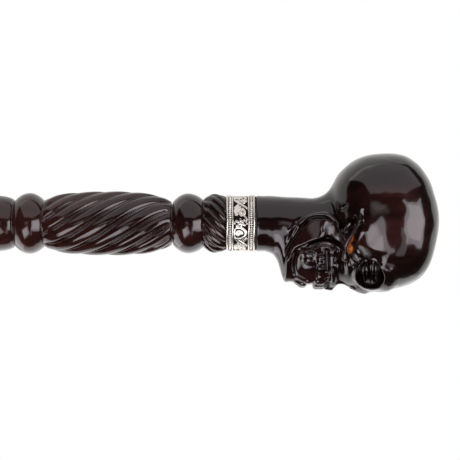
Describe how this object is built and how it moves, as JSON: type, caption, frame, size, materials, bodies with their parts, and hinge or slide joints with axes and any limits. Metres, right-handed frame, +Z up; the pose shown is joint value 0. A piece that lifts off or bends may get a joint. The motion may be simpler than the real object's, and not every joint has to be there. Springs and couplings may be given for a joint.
{
  "type": "walking stick",
  "caption": "Dark lacquered wooden walking stick with a carved skull handle, a silver scroll collar, a spiral-fluted grip and a rubber tip.",
  "frame": {"origin": "centre of the rubber tip's flat sole", "axes": "+Z up along the shaft to the skull, the skull looks along -Y, +X to the skull's left side"},
  "size_m": [0.0484, 0.0628, 0.9199],
  "materials": {
    "skull_wood": "near-black brown stain under gloss lacquer",
    "shaft_wood": "dark red-brown stain under gloss lacquer",
    "collar_silver": "antique silver with blackened recesses",
    "rim_silver": "antique silver, beaded",
    "black_fibre": "matt black",
    "stud_steel": "rolled thread, zinc grey",
    "insert_brass": "turned",
    "tip_rubber": "moulded, matt",
    "washer_steel": "stamped"
  },
  "bodies": {
    "stick": {"shaft": "shaft_wood", "collar_band": "collar_silver", "beaded_rim_upper": "rim_silver", "beaded_rim_lower": "rim_silver", "threaded_insert": "insert_brass", "rubber_tip": "tip_rubber", "tip_washer": "washer_steel"},
    "washer": {"seam_washer": "black_fibre"},
    "handle": {"skull_handle": "skull_wood", "handle_stud": "stud_steel"}
  },
  "joints": [
    {"name": "handle_advance", "type": "slide", "parent": "stick", "child": "washer", "axis": [0, 0, 1], "range_m": [0, 0.015]},
    {"name": "handle_unscrew", "type": "hinge", "parent": "washer", "child": "handle", "pos_m": [0, 0, 0.838], "axis": [0, 0, 1], "range_deg": [0, 3600]}
  ],
  "couplings": [
    {"joint": "handle_unscrew", "follows": "handle_advance", "rad_per_m": 4188.8}
  ]
}
